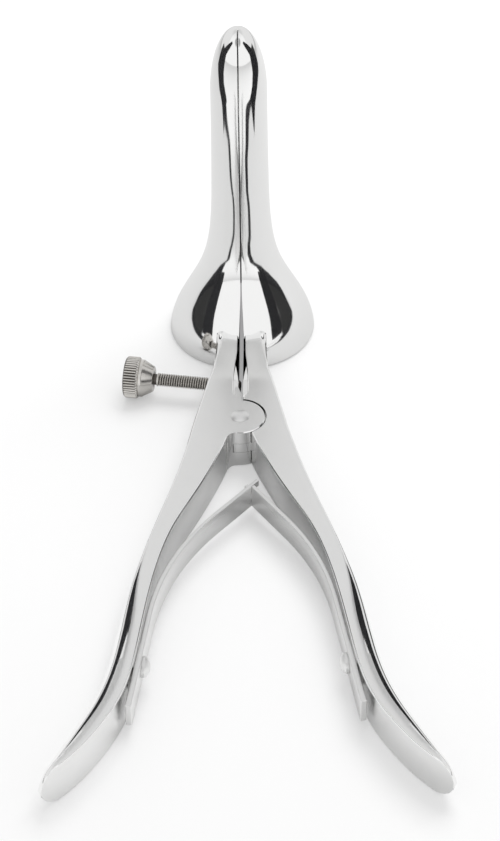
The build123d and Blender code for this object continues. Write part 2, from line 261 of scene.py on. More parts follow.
def share_where(line, axis, value):
    """Share of a line at which one coordinate, which grows or falls all along it, has a value."""
    low, high = 0.0, 1.0
    rising = line(1)[axis] > line(0)[axis]
    for _ in range(40):
        middle = (low + high) / 2
        if (line(middle)[axis] < value) == rising:
            low = middle
        else:
            high = middle
    return (low + high) / 2


def smooth_step(value):
    share = min(1.0, max(0.0, value))
    return share * share * (3 - 2 * share)


# %% [markdown]
# ## Bell and blades
# Each blade is half of a tube with a closed, round nose and a bell at its foot. On the bench it is forged
# and then ground, so the wall has one thickness. Here the wall is drawn once, in section, and spun through
# half a turn. The edges along the seam are then broken with a fine bevel, which catches the light. The
# seam is nearly closed at the back, and at the front it opens a little towards the mouth of the bell.

# %% Section of bell and blade
blade_centre = 57.5
blade_length = 105.5
nose_length = 20.5
blade_wall = 1.25
seam_gap, seam_break = 0.4, 0.35
back_gap, mouth_gap = 0.06, 1.4
mouth_gap_from, mouth_gap_over, mouth_gap_width = 8, 16, 6
mouth_round, wall_from = 0.45, 0.6
mouth_slope = (-0.05, 1)
blade_tip_radius = 7.9
side_points = [(21.8, 0.0), (20.2, 7.0), (16.4, 15.0), (11.4, 26.0), (8.8, 40.0), (8.2, 55.0),
               (blade_tip_radius, blade_length - nose_length)]


def side_line(wall):
    return smooth_line([(r - wall, z) for r, z in side_points], ends=(mouth_slope, (0, 1)))


def radius_at(height):
    """Outer radius of the bell and the blade at a height."""
    line = side_line(0)
    return line(share_where(line, 1, height))[0]


def wall_points(wall, steps, nose_steps):
    """Radius and height along one face of the wall, from the mouth to the tip of the nose."""
    line = side_line(wall)
    points = [tuple(line(i / steps)) for i in range(steps)]
    radius, rise = blade_tip_radius - wall, nose_length - wall
    foot = blade_length - nose_length
    for i in range(nose_steps):
        turn = math.pi / 2 * i / nose_steps
        points.append((radius * math.cos(turn), foot + rise * math.sin(turn)))
    return points + [(0.0, foot + rise)]


outer_wall, inner_wall = (wall_points(wall, steps=60, nose_steps=28) for wall in (0.0, blade_wall))
print("wall drawn with", len(outer_wall) + len(inner_wall), "points")


# %% Half of bell and blade
def mouth_edge(steps=4):
    """The lower edge of the wall, rounded from its outer face to its inner face."""
    outer, inner = outer_wall[0][0], inner_wall[0][0]
    middle, reach = (outer + inner) / 2, (outer - inner) / 2
    turns = [math.pi * (i + 1) / (steps + 1) for i in range(steps)]
    return [(middle + reach * math.cos(t), mouth_round - mouth_round * math.sin(t)) for t in turns]


def set_seam(piece, out):
    """Move the half outwards from the seam, less at the back and more at the mouth's front."""
    for vert in piece.data.vertices:
        x, y, height = abs(vert.co.x) / MM, vert.co.y / MM, vert.co.z / MM
        if y > blade_centre:
            x += (back_gap - seam_gap) / 2 * max(0, 1 - x)
        else:
            closed = smooth_step((height - mouth_gap_from) / mouth_gap_over)
            x += (mouth_gap - seam_gap) / 2 * (1 - closed) * max(0, 1 - x / mouth_gap_width)
        vert.co.x = out * (x + seam_gap / 2) * MM


def blade_half(side):
    """The wall's section is a closed loop of edges, spun from the front of the seam to the back."""
    outer, inner = ([(wall[0][0], mouth_round)] + [point for point in wall if point[1] > wall_from]
                    for wall in (outer_wall, inner_wall))
    section = outer[::-1] + mouth_edge() + inner
    out = 1 if side == "right" else -1
    piece = loop_piece("blade_" + side, [(0, blade_centre - radius, height) for radius, height in section])
    spin_loop(60, angle=-out * math.pi, centre_y=blade_centre)
    bpy.ops.mesh.select_all(action="DESELECT")
    bpy.ops.mesh.select_non_manifold()
    bpy.ops.mesh.edge_face_add()
    bpy.ops.mesh.bevel(offset=seam_break * MM, segments=3, affect="EDGES", clamp_overlap=True)
    bpy.ops.object.mode_set(mode="OBJECT")
    set_seam(piece, out)
    return settle(piece)


blades = {side: blade_half(side) for side in ("left", "right")}
for piece in blades.values():
    report(piece)

# %% [markdown]
# ## Levers
# A lever is the neck beside the bell, and the handle. Its section changes all the way down: a flat bar
# with broken edges at the joint, and a bar with a round back and a shallow hollow inside further down,
# which is what makes the handle light and easy on the hand. It is drawn ring by ring.

# %% Plan of a lever
depth = 12.5
middle = depth / 2
handle_length = 132.4
handle_lean = math.radians(1.3)
neck_gap = 1.4
neck_half_width_at_pivot = 12.9
neck_half_width_at_bell = 7.6
neck_bell_from_pivot = 26.0
neck_even_from, neck_even_share = 23, 0.25
edge_round = 0.8
inner_side = [(1.6, 0.0), (3.3, 0.055), (7.2, 0.14), (13.0, 0.243), (18.0, 0.325), (22.0, 0.42),
              (24.6, 0.515), (26.8, 0.625), (28.7, 0.72), (31.6, 0.805), (35.6, 0.866), (40.0, 0.918),
              (45.8, 0.969), (50.4, 1.0)]
outer_side = [(neck_half_width_at_pivot, 0.0), (16.2, 0.12), (20.0, 0.23), (23.3, 0.315),
              (27.1, 0.415), (30.5, 0.505), (33.2, 0.6), (35.2, 0.69), (37.9, 0.765), (41.9, 0.836),
              (47.3, 0.918), (50.3, 0.97), (51.6, 1.0)]
inner_line = smooth_line([(x, -s * handle_length) for x, s in inner_side])
outer_line = smooth_line([(x, -s * handle_length) for x, s in outer_side])


def x_on(line, y):
    return line(share_where(line, 1, y))[0]


def neck_width(y):
    """The neck narrows evenly from the joint, and keeps its width over the last stretch to the bell."""
    slope = (neck_half_width_at_pivot - neck_half_width_at_bell) / neck_bell_from_pivot
    return neck_half_width_at_pivot - slope * min(
        y, neck_even_from + neck_even_share * max(y - neck_even_from, 0))


def side_place(side):
    """Takes a drawing of the right side to its place: leaned, and mirrored for the left side."""
    if side == "right":
        return Matrix.Rotation(handle_lean, 4, "Z")
    return Matrix.Scale(-1, 4, (1, 0, 0)) @ Matrix.Rotation(-handle_lean, 4, "Z")


# %% Seat of a spring
def unit(vector):
    """The way of a vector, with the length 1."""
    return vector / np.linalg.norm(vector)


spring_seat = 90.5
seat_share = share_where(inner_line, 1, -spring_seat)
seat = inner_line(seat_share)
seat_down = unit(inner_line(seat_share + 0.001) - inner_line(seat_share - 0.001))
seat_out = np.array([seat_down[1], -seat_down[0]])
print("spring seat", seat.round(2), "down", seat_down.round(3))

# %% Section of a lever
recess_start, recess_end = 14.0, 108.0
recess_depth, recess_rim, recess_fade = 1.5, 1.1, 0.1
pad_half_length, pad_slope = 3.87, 1.2
corner_round = 0.5
corner_steps, back_steps, hollow_steps = 4, 14, 14


def quarter(corner, radius, start, steps):
    """Points of a quarter ellipse round a corner, from one side of it to the other."""
    turns = [math.radians(start + 90 * i / steps) for i in range(steps + 1)]
    return [(corner[0] + radius[0] * math.cos(t), corner[1] + radius[1] * math.sin(t)) for t in turns]


def hollow_depth(share):
    """Depth of the hollow on the inner side, as a share of its full depth. The spring has a pad."""
    y = share * handle_length
    down = (y - recess_start) / (recess_end - recess_start)
    pad = smooth_step((abs(y - spring_seat) - pad_half_length) / pad_slope)
    return smooth_step(down / recess_fade) * smooth_step((1 - down) / recess_fade) * pad


def lever_ring(inner, outer, round_x, round_z, top, hollow, bevel):
    """X and Z of a section, anticlockwise from the bottom of the inner side."""
    small = (corner_round, corner_round)
    points = quarter((inner + corner_round, corner_round), small, 180, corner_steps)
    points += quarter((outer - round_x, round_z), (round_x, round_z), 270, back_steps)
    points += quarter((outer - round_x, top - round_z), (round_x, round_z), 0, back_steps)
    points += quarter((inner + corner_round + bevel[0], top - corner_round), small, 90, corner_steps)[:-1]
    points += [(inner + bevel[0], top - corner_round), (inner, top - corner_round - bevel[1])]
    low, high = recess_rim, depth - recess_rim
    for i in range(hollow_steps + 1):
        z = high + (low - high) * i / hollow_steps
        points.append((inner + hollow * recess_depth * (1 - ((z - middle) / (middle - low)) ** 2), z))
    return points


# %% Rings of a handle
tip = inner_line(1)
tip_way = unit(tip - inner_line(0.995))
least_tip = 0.004
lean_over = 0.1
back_from, back_over, back_share = 0.36, 0.26, 0.94
rim_flat, rim_share = 1.0, 0.3


def round_tip(x, y, z):
    """The free end of the handle is a half round in side view, square to its inner side."""
    before = (tip[0] - x) * tip_way[0] + (tip[1] - y) * tip_way[1]
    if before < 0:
        x, y = x + before * tip_way[0], y + before * tip_way[1]
    left = math.sqrt(max(least_tip, 1 - (1 - min(max(before, 0), middle) / middle) ** 2))
    return x, y, middle + (z - middle) * left


def leaned(x, y, side, share):
    """The pair of handles leans a little to the right of the seam."""
    turn = handle_lean * smooth_step(share / lean_over) * (1 if side == "right" else -1)
    return x * math.cos(turn) - y * math.sin(turn), x * math.sin(turn) + y * math.cos(turn)


def handle_ring(side, share):
    """The outer side of the handle grows from a flat with broken edges into a round back."""
    y = -share * handle_length
    inner, outer = x_on(inner_line, y), x_on(outer_line, y)
    roundness = smooth_step((share - back_from) / back_over)
    flat = min(rim_flat, rim_share * (outer - inner))
    round_x = edge_round + roundness * (outer - inner - flat - edge_round)
    round_z = edge_round + roundness * (back_share * middle - edge_round)
    ring = []
    for x, z in lever_ring(inner, outer, round_x, round_z, depth, hollow_depth(share), (0, 0)):
        x, y_there, z = round_tip(x, y, z)
        ring.append((*leaned(x, y_there, side, share), z))
    return ring


# %% Neck with its web
neck_root, beyond_wall = 24.0, 46.0
neck_fall, fall_from = 2.8, 14
web_radius, web_turn, web_sink = 3.0, math.radians(65), 0.2
web_rise = web_radius * (1 - math.cos(web_turn))
web_start = (blade_centre - radius_at(depth - neck_fall + web_rise)
             - web_radius * math.sin(web_turn) + web_sink)
flare_radius, flare_from, flare_over = 1.3, 2, 4
bevel_width, bevel_depth = 1.3, 0.5
bevel_from, bevel_over = 8, 3
bevel_fade, bevel_fade_from, bevel_fade_over = 0.9, 18, 16
neck_round, neck_round_from, neck_round_over = 1.2, 24, 12
middle_wall = side_line(blade_wall / 2)


def top_of_neck(y):
    """The top falls towards the bell and then curves up on to it."""
    along = min(max(y - web_start, 0), web_radius * math.sin(web_turn))
    fall = neck_fall * smooth_step((y - fall_from) / (web_start - fall_from))
    return depth - fall + web_radius - math.sqrt(web_radius ** 2 - along ** 2)


def wall_y(x, z):
    """Where the neck ends, in the middle of the bell's wall."""
    radius = middle_wall(share_where(middle_wall, 1, min(max(z, 0), 30)))[0]
    return blade_centre - math.sqrt(max(radius ** 2 - x ** 2, 0))


def neck_bevel(y):
    """Width and depth of the bevel along the seam, which fades out on the web."""
    full = smooth_step((y - bevel_from) / bevel_over) * (
        1 - bevel_fade * smooth_step((y - bevel_fade_from) / bevel_fade_over))
    return bevel_width * full, bevel_depth * full


def neck_section(y):
    """The neck's edges grow rounder towards the bell."""
    edge = edge_round + neck_round * smooth_step((y - neck_round_from) / neck_round_over)
    return lever_ring(neck_gap / 2, neck_width(y), edge, edge, top_of_neck(y), 0, neck_bevel(y))


def neck_end(point):
    """How far a point of the section goes before it meets the wall of the bell."""
    low, high = neck_root, beyond_wall
    for _ in range(24):
        y = (low + high) / 2
        if wall_y(*neck_section(y)[point]) > y:
            low = y
        else:
            high = y
    return low


def flared(x, y, z):
    """The side of the neck runs out along the bell in a hollow round."""
    near = 1 - min(max(wall_y(x, z) - y, 0) / flare_radius, 1)
    bend = flare_radius * (1 - math.sqrt(1 - near ** 2)) * smooth_step((x - flare_from) / flare_over)
    return x + bend, y + (wall_y(x + bend, z) - wall_y(x, z)) * smooth_step(near), z


neck_ends = [neck_end(point) for point in range(len(neck_section(0)))]


def neck_rings(web_steps=22, root_steps=14):
    """Rings from the bell's wall to the joint. Each point of a ring ends on the wall."""
    rings = []
    for step in range(web_steps):
        ring = []
        for point, end in enumerate(neck_ends):
            y = neck_root + (end - neck_root) * (1 - step / web_steps)
            x, z = neck_section(y)[point]
            ring.append(flared(x, y, z))
        rings.append(ring)
    for step in range(root_steps):
        y = neck_root * (1 - step / root_steps)
        rings.append([(x, y, z) for x, z in neck_section(y)])
    return rings


def lever(side, handle_steps=95, crowding=1.25, last_share=0.9995):
    """Neck and handle in one piece. The handle's rings lie closer together towards its tip."""
    shares = [1 - (1 - i / handle_steps) ** crowding for i in range(handle_steps)] + [last_share]
    rings = neck_rings() + [handle_ring(side, share) for share in shares]
    if side == "left":
        rings = [[(-x, y, z) for x, y, z in ring] for ring in rings]
    return settle(ring_piece("lever_" + side, rings))


levers = {side: lever(side) for side in ("left", "right")}
for piece in levers.values():
    report(piece)

# %% [markdown]
# ## Box joint
# The tongue of the right half turns between two ears of the left half. Both are cut round the rivet. The
# ears run into the left handle with a hollow round, and a small nose on the left neck meets the other neck
# just above them, as a stop.

# %% Ears, tongue and pockets
ear_radius = 7.2
ear_gap = 0.35
ear_fillet = 2.6
stop_top, stop_low, stop_gap = 13.0, 9.3, 0.35
tongue_low, tongue_high = 5.1, 8.2
layer_gap, press_gap, running_gap = 0.06, 0.01, 0.06
pivot_radius = 1.75
beyond = 1
web_side, web_touch, web_steps = (1.4, 2.2), 0.97, 16


def disc(radius, low, high, edge=0.0, steps=144):
    """A round block about the joint's axis, with its edges broken if asked."""
    profile = [(0, low), (radius - edge, low), (radius, low + edge), (radius, high - edge),
               (radius - edge, high), (0, high)]
    profile = [point for i, point in enumerate(profile) if point != profile[i - 1]]
    return settle(spun_piece("disc", profile, steps))


def ear_web():
    """Outline of the corner between the ears and the left handle, with its hollow round."""
    upper, lower = (np.array(leaned(x_on(inner_line, -f * ear_radius), -f * ear_radius, "left", 1))
                    for f in web_side)
    way = unit(lower - upper)
    away = np.array([way[1], -way[0]])
    touch = web_touch * ear_fillet
    aside = away @ upper + touch
    centre = away * aside + way * math.sqrt((ear_radius + touch) ** 2 - aside ** 2)
    first = math.atan2(-centre[1], -centre[0])
    turn = (math.atan2(-away[1], -away[0]) - first + math.pi) % (2 * math.pi) - math.pi
    turns = [first + turn * i / web_steps for i in range(web_steps + 1)]
    arc = [centre + ear_fillet * np.array([math.cos(t), math.sin(t)]) for t in turns]
    inside = centre - away * (2 * ear_fillet)
    return [(-x, y) for x, y in [(0.0, 0.0)] + [tuple(p) for p in arc] + [tuple(inside)]]


def stop_nose():
    """Outline of the small stop on the left neck."""
    near, far, past = -neck_gap / 2, neck_gap / 2 - stop_gap, -neck_gap / 2 - edge_round
    return [(past, stop_top), (near, stop_top), (far, stop_low), (far, 0.0), (past, 0.0)]


left, right = levers["left"], levers["right"]
merge(left, disc(ear_radius, 0, depth, 0.25), "UNION")
merge(left, plan_block("ear_web", ear_web(), 0, depth), "UNION")
merge(left, plan_block("stop_nose", stop_nose(), 0, depth), "UNION")
merge(left, disc(ear_radius + ear_gap, tongue_low - layer_gap, tongue_high + layer_gap), "DIFFERENCE")
merge(left, disc(pivot_radius + press_gap, -beyond, depth + beyond, steps=64), "DIFFERENCE")
merge(right, disc(ear_radius + ear_gap, -beyond, tongue_low), "DIFFERENCE")
merge(right, disc(ear_radius + ear_gap, tongue_high, depth + beyond), "DIFFERENCE")
merge(right, disc(ear_radius, tongue_low, tongue_high), "UNION")
merge(right, disc(pivot_radius + running_gap, -beyond, depth + beyond, steps=64), "DIFFERENCE")
for piece in levers.values():
    report(piece)

# %% [markdown]
# ## Thumb screw
# The screw stands out of the left neck and bears on the right one, so that it holds the blades open. Its
# thread is a fine V that winds along the stud. It could be wound with the Screw modifier, but then both
# ends have to be sliced and closed. Drawn ring by ring it is closed from the start, and the tip's chamfer
# is only a limit on the radius.

# %% Place and sizes of the screw
screw_tilt = math.radians(8.5)
screw_tip_x, screw_from_pivot = -0.1, 20.2
screw_tip = Vector((screw_tip_x, screw_from_pivot - screw_tip_x * math.tan(screw_tilt), middle))
stud_length, drum_start = 24.9, 30.1
thread_pitch, thread_gap, crest, core = 0.7, 0.08, 2.0, 1.58
tooth_half, tooth_flank, tip_chamfer = 0.44, 0.36, 0.5
undercut, drum_radius, drum_height = 1.6, 6.15, 4.2
knurl_teeth, knurl_fall = 46, [0.0, 0.09, 0.32, 0.45, 0.32, 0.09]
along = Vector((-math.cos(screw_tilt), math.sin(screw_tilt), 0))
screw_place = (Matrix.Translation(screw_tip * MM)
               @ Matrix((along.cross(Vector((0, 0, 1))), Vector((0, 0, 1)), along)).transposed().to_4x4())


def placed(piece, place):
    piece.matrix_world = place
    return settle(piece)


# %% Threaded stud
def stud_rings():
    """Rings along the stud. The tooth of the thread moves round it by one turn in each pitch."""
    columns, per_pitch = 32, 10
    count = int((stud_length - 0.2) / thread_pitch * per_pitch)
    rings = []
    for step in range(count + 1):
        height = step * thread_pitch / per_pitch
        ring = []
        for i in range(columns):
            from_crest = abs((height / thread_pitch - i / columns) % 1 - 0.5)
            tooth = min(max((tooth_half - from_crest) / tooth_flank, 0), 1)
            radius = min(core + (crest - core) * tooth, crest - tip_chamfer + height)
            turn = 2 * math.pi * i / columns
            ring.append((radius * math.cos(turn), radius * math.sin(turn), height))
        rings.append(ring)
    return rings


def shaft_outline():
    """Neck, cone and ring behind the stud, from the stud's end to the drum, with broken edges."""
    start = stud_length - 0.4
    return [(0, start), (crest - 0.02, start), (crest - 0.02, stud_length - 0.1), (undercut, stud_length),
            (undercut, 25.8), (3.6, 25.9), (3.8, 26.05), (5.25, 28.75), (5.5, 29.0), (5.5, 29.8),
            (5.25, 30.0), (5.25, 30.3), (0, 30.3)]


def drum_rings():
    """Knurled drum: straight teeth, chamfered at both ends, with a flat end and a turned groove."""
    count, high = knurl_teeth * len(knurl_fall), drum_height
    rings = []
    for height, limit in ((0.0, 5.2), (0.02, 5.6), (0.5, drum_radius), (high - 0.5, drum_radius),
                          (high - 0.08, 5.72), (high, 5.6), (high, 4.6), (high - 0.12, 4.4),
                          (high - 0.12, 3.2)):
        ring = []
        for i in range(count):
            radius = min(drum_radius - knurl_fall[i % len(knurl_fall)], limit)
            turn = 2 * math.pi * i / count
            ring.append((radius * math.cos(turn), radius * math.sin(turn), drum_start + height))
        rings.append(ring)
    return rings


def mark(piece, name, values, domain="POINT", kind="FLOAT"):
    """Give each point or face of a piece a number or a place, which its finish reads."""
    layer = piece.data.attributes.new(name, kind, domain)
    layer.data.foreach_set("vector" if kind == "FLOAT_VECTOR" else "value", values)


def groove_depth(place):
    """How deep a point lies in the thread, the undercut or the knurl: 0 on a crest, 1 in a root."""
    radius, height = math.hypot(place.x, place.y) / MM, place.z / MM
    if height < stud_length - 0.1:
        depth_here = (crest - radius) / (crest - core)
    elif radius < undercut + 0.15:
        depth_here = 1.0
    elif height > drum_start + 0.3 and radius > drum_radius - 0.65:
        depth_here = (drum_radius - radius) / 0.4
    else:
        depth_here = 0.0
    return min(max(depth_here, 0.0), 1.0)


def thumb_screw():
    piece = settle(ring_piece("thumb_screw_steel", stud_rings()))
    merge(piece, settle(spun_piece("shaft", shaft_outline(), 96)), "UNION")
    merge(piece, settle(ring_piece("drum", drum_rings())), "UNION")
    # Each point's depth in a groove, which the screw's finish turns into painted shade in the roots.
    mark(piece, "groove", [groove_depth(vert.co) for vert in piece.data.vertices])
    return placed(piece, screw_place)


screw = thumb_screw()
report(screw)
merge(left, placed(disc(crest + thread_gap, -10, 20, steps=64), screw_place), "DIFFERENCE")
report(left)

# %% [markdown]
# ## Leaf springs
# Two flat springs push the handles apart. Each is riveted to the hollow side of its handle, bends at a knee
# and ends at the apex, where the tongue of one goes through the fork of the other. Each is drawn ring by
# ring from its foot to its end. A block then cuts the fork, and two blocks leave the tongue.

# %% Line of a spring
spring_width, spring_edge = 7.5, 0.22
root_thickness, end_thickness = 1.6, 1.1
foot_length = 17.0
knee_radius, knee_down = 75.0, 54.0
apex_right, apex_down = 2.8, 26.0
prong_length, tongue_length, tongue_width, slot_gap = 2.4, 2.6, 3.0, 0.35
tongue_gap, cutter_size, spring_hole = 0.1, 6, 1.4
foot_inset, foot_inset_length = 0.18, 0.2
foot_way = -seat_down
knee = seat + foot_way * ((-knee_down - seat[1]) / foot_way[1])


def apex_of(side):
    return np.array([apex_right if side == "right" else -apex_right, -apex_down])


def end_way(side):
    return unit(apex_of(side) - knee)


def filleted(foot, corner, end, radius):
    """Points along two straight legs with an arc between them."""
    before, after = unit(corner - foot), unit(end - corner)
    turn = math.asin(before[0] * after[1] - before[1] * after[0])
    reach = radius * math.tan(abs(turn) / 2)
    start, stop = corner - before * reach, corner + after * reach
    normal = math.copysign(1, turn) * np.array([-before[1], before[0]])
    centre = start + normal * radius
    points = [foot + (start - foot) * i / 20 for i in range(20)]
    for i in range(21):
        angle = abs(turn) * i / 20
        points.append(centre - radius * normal * math.cos(angle) + radius * before * math.sin(angle))
    return points + [stop + (end - stop) * i / 20 for i in range(1, 21)]


def left_of(way):
    return np.array([-way[1], way[0]])


def spring_edges(side, overrun):
    """Near edge, against the handle, and far edge of a spring in plan."""
    way = end_way(side)
    foot = seat - foot_way * foot_length
    end = apex_of(side) + way * overrun
    knee_thickness = (root_thickness + end_thickness) / 2
    near = filleted(foot, knee, end - left_of(way) * end_thickness / 2, knee_radius + knee_thickness)
    far = filleted(foot + left_of(foot_way) * root_thickness, knee + left_of(foot_way) * knee_thickness,
                   end + left_of(way) * end_thickness / 2, knee_radius)
    return near, far


def spring_ring(near, far, inset):
    """A strip's section with rounded edges, drawn a little smaller at the very end."""
    thickness = np.linalg.norm(far - near)
    across = (far - near) / thickness
    low, high = middle - spring_width / 2 + inset, middle + spring_width / 2 - inset
    edge = (spring_edge, spring_edge)
    left_x, right_x = inset + spring_edge, thickness - inset - spring_edge
    section = (quarter((left_x, low + spring_edge), edge, 180, 4)
               + quarter((right_x, low + spring_edge), edge, 270, 4)
               + quarter((right_x, high - spring_edge), edge, 0, 4)
               + quarter((left_x, high - spring_edge), edge, 90, 4))
    return [(*(near + across * u), z) for u, z in section]


def block(place, way, size):
    """A block whose first size lies along a way in plan."""
    fresh()
    bpy.ops.mesh.primitive_cube_add(size=1, location=Vector(place) * MM,
                                    rotation=(0, 0, math.atan2(way[1], way[0])))
    piece = named("block")
    piece.scale = Vector(size) * MM
    return settle(piece)


def cut_ahead(piece, side, start, low, high):
    """Cut away the end of a spring from a distance before the apex, between two heights."""
    way, length = end_way(side), start + cutter_size
    place = apex_of(side) + way * (length / 2 - start)
    cutter = block((*place, (low + high) / 2), way, (length, cutter_size, high - low))
    merge(piece, cutter, "DIFFERENCE")


cross_angle = math.acos(float(end_way("right") @ (end_way("left") * [-1, 1])))
reach_across = end_thickness / 2 / math.sin(cross_angle) + end_thickness / 2 / abs(math.tan(cross_angle))


# %% Springs
def spring(side):
    near, far = spring_edges(side, tongue_length if side == "right" else prong_length)
    rings = [spring_ring(n, f, 0.0) for n, f in zip(near, far)]
    rings[0] = spring_ring(near[0], far[0], foot_inset)
    step = foot_way * foot_inset_length
    rings.insert(1, spring_ring(near[0] + step, far[0] + step, 0.0))
    piece = settle(ring_piece(side + "_spring_steel", rings))
    if side == "left":
        half_slot = tongue_width / 2 + slot_gap
        cut_ahead(piece, side, reach_across + slot_gap, middle - half_slot, middle + half_slot)
    else:
        for sign in (-1, 1):
            ends = sorted((middle + sign * tongue_width / 2, middle + sign * 8))
            cut_ahead(piece, side, reach_across + tongue_gap, *ends)
    merge(piece, placed(disc(spring_hole, -3, 3, steps=48), seat_place), "DIFFERENCE")
    return placed(piece, side_place(side))


seat_place = (Matrix.Translation(Vector((*seat, middle)) * MM)
              @ Matrix(((*seat_down, 0), (0, 0, 1), (*seat_out, 0))).transposed().to_4x4())
springs = {side: spring(side) for side in ("left", "right")}
for piece in springs.values():
    report(piece)

# %% [markdown]
# ## Rivets
# The joint's rivet has a low dome above and is ground flush below. The two spring rivets have taller round
# heads on the springs, and are ground flush with the backs of the handles, so each shank takes the shape of
# the handle's back. A hairline round it shows where the rivet ends.

# %% Rivets
head_edge, ground_edge = 0.06, 0.12
shank_radius, shank_length, shank_hole = 1.37, 14, 1.42


def dome(radius, skirt, height, base, steps=14):
    """Radius and height of a rivet's head, from its foot to its top."""
    rise = height - skirt
    ball = (radius ** 2 + rise ** 2) / (2 * rise)
    spread = math.asin(radius / ball)
    turns = [spread * (1 - i / steps) for i in range(steps + 1)]
    arc = [(ball * math.sin(t), base + height - ball + ball * math.cos(t)) for t in turns]
    return [(radius - head_edge, base), (radius, base + head_edge)] + arc


def pivot_rivet():
    shank = [(0, 0), (pivot_radius - ground_edge, 0), (pivot_radius, ground_edge), (pivot_radius, depth)]
    head = dome(radius=2.6, skirt=0.15, height=1.1, base=depth)
    return settle(spun_piece("pivot_rivet_steel", shank + head, 72))


rivet_lift = root_thickness - (root_thickness - end_thickness) / 2 * foot_length / (
    foot_length + np.linalg.norm(knee - seat))


def spring_rivet(side):
    """Head and shank are one piece. The shank's far end has the shape of the handle's back."""
    place = side_place(side) @ seat_place
    shank = [(0, -shank_length), (shank_radius, -shank_length), (shank_radius, 2), (0, 2)]
    rivet = placed(settle(spun_piece(side + "_spring_rivet_steel", shank, 48)), place)
    pick(levers[side])
    bpy.ops.object.duplicate()
    merge(rivet, named("handle_copy"), "INTERSECT")
    head = spun_piece("head", [(0, -0.4), (1.25, -0.4), (1.25, rivet_lift)]
                      + dome(radius=2.8, skirt=0.8, height=2.0, base=rivet_lift + 0.02), 64)
    merge(rivet, placed(head, place), "UNION")
    merge(levers[side], placed(disc(shank_hole, -shank_length, 1, steps=48), place), "DIFFERENCE")
    return settle(rivet)


rivets = {"left": spring_rivet("left"), "right": spring_rivet("right")}
joint_rivet = pivot_rivet()
for piece in [*rivets.values(), joint_rivet]:
    report(piece)

# %% [markdown]
# ## Halves
# A lever and its blade are one forging, so they are joined into one piece. The neck ends in the middle of
# the bell's wall, where nothing shows. The flat faces are kept flat to the eye with weighted normals.
# Each face is then marked as mirror polished or satin: the flat tops of the levers and the hollow sides of
# the handles are ground fine, and the rest is polished. The rivets are duller still, as a buff doesn't
# reach round their heads.

# %% Join lever and blade
def half(side):
    pick(levers[side])
    blades[side].select_set(True)
    bpy.ops.object.join()
    piece = settle(named(side + "_half_polished"))
    return apply_modifier(piece, "WEIGHTED_NORMAL", weight=50, keep_sharp=True)


polish_level, satin_level, rivet_level = 0.0, 1.0, 1.5
flat_up, top_above, top_until = 0.93, 9, 38
facing_in, hollow_from, hollow_heights = -0.35, -10, (0.5, 12)


def is_satin(face, outwards):
    """Whether a face is on the flat top of a lever or on the hollow side of a handle."""
    _, y, z = face.center / MM
    on_top = face.normal.z > flat_up and z > top_above and y < top_until
    low, high = hollow_heights
    inside = face.normal.x * outwards < facing_in and y < hollow_from and low < z < high
    return on_top or inside


halves = {side: half(side) for side in ("left", "right")}
for side, piece in halves.items():
    report(piece)
    satin = [is_satin(face, 1 if side == "right" else -1) for face in piece.data.polygons]
    mark(piece, "satin", [satin_level if yes else polish_level for yes in satin], "FACE")
    print("satin share of faces:", round(sum(satin) / len(satin), 2))
for piece in (*rivets.values(), joint_rivet):
    mark(piece, "satin", [rivet_level] * len(piece.data.polygons), "FACE")


# %% Who rides on what
def stands_for(piece, node, body):
    """The piece takes the place of a solid of the frame, and moves with its body when it is given one."""
    if body:
        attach(piece, body)
    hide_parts(node)


for side in ("left", "right"):
    stands_for(halves[side], side + "_half", side + "_side")
    stands_for(rivets[side], side + "_spring_rivet", side + "_side")
    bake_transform(springs[side])
    stands_for(springs[side], side + "_spring", None)
stands_for(joint_rivet, "pivot_rivet", "left_side")
stands_for(screw, "thumb_screw", "screw")
print("dressed:", ", ".join(sorted(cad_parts)))

# %% [markdown]
# ## Finishes
# Steel shows almost nothing but what stands round it, so its colour is nearly plain and the roughness and a
# very small relief do the work. The sums of a finish are written as plain arithmetic on values that vary
# over the surface, and each sum becomes a node.

# %% Writing a finish as sums
class Value:
    """A value that varies over the surface, and takes part in sums."""
    def __init__(self, finish, socket):
        self.finish, self.socket = finish, socket

    def sum_with(self, operation, first, second):
        return self.finish.node("Math", {0: first, 1: second}, operation=operation)

    def __add__(self, other):
        return self.sum_with("ADD", self, other)

    def __radd__(self, other):
        return self.sum_with("ADD", other, self)

    def __sub__(self, other):
        return self.sum_with("SUBTRACT", self, other)

    def __rsub__(self, other):
        return self.sum_with("SUBTRACT", other, self)

    def __mul__(self, other):
        return self.sum_with("MULTIPLY", self, other)

    def __rmul__(self, other):
        return self.sum_with("MULTIPLY", other, self)

    def between(self, low, high):
        """0 below low, 1 above high, and a soft ramp between them."""
        return self.finish.node("MapRange", {"Value": self, "From Min": low, "From Max": high},
                                interpolation_type="SMOOTHSTEP")


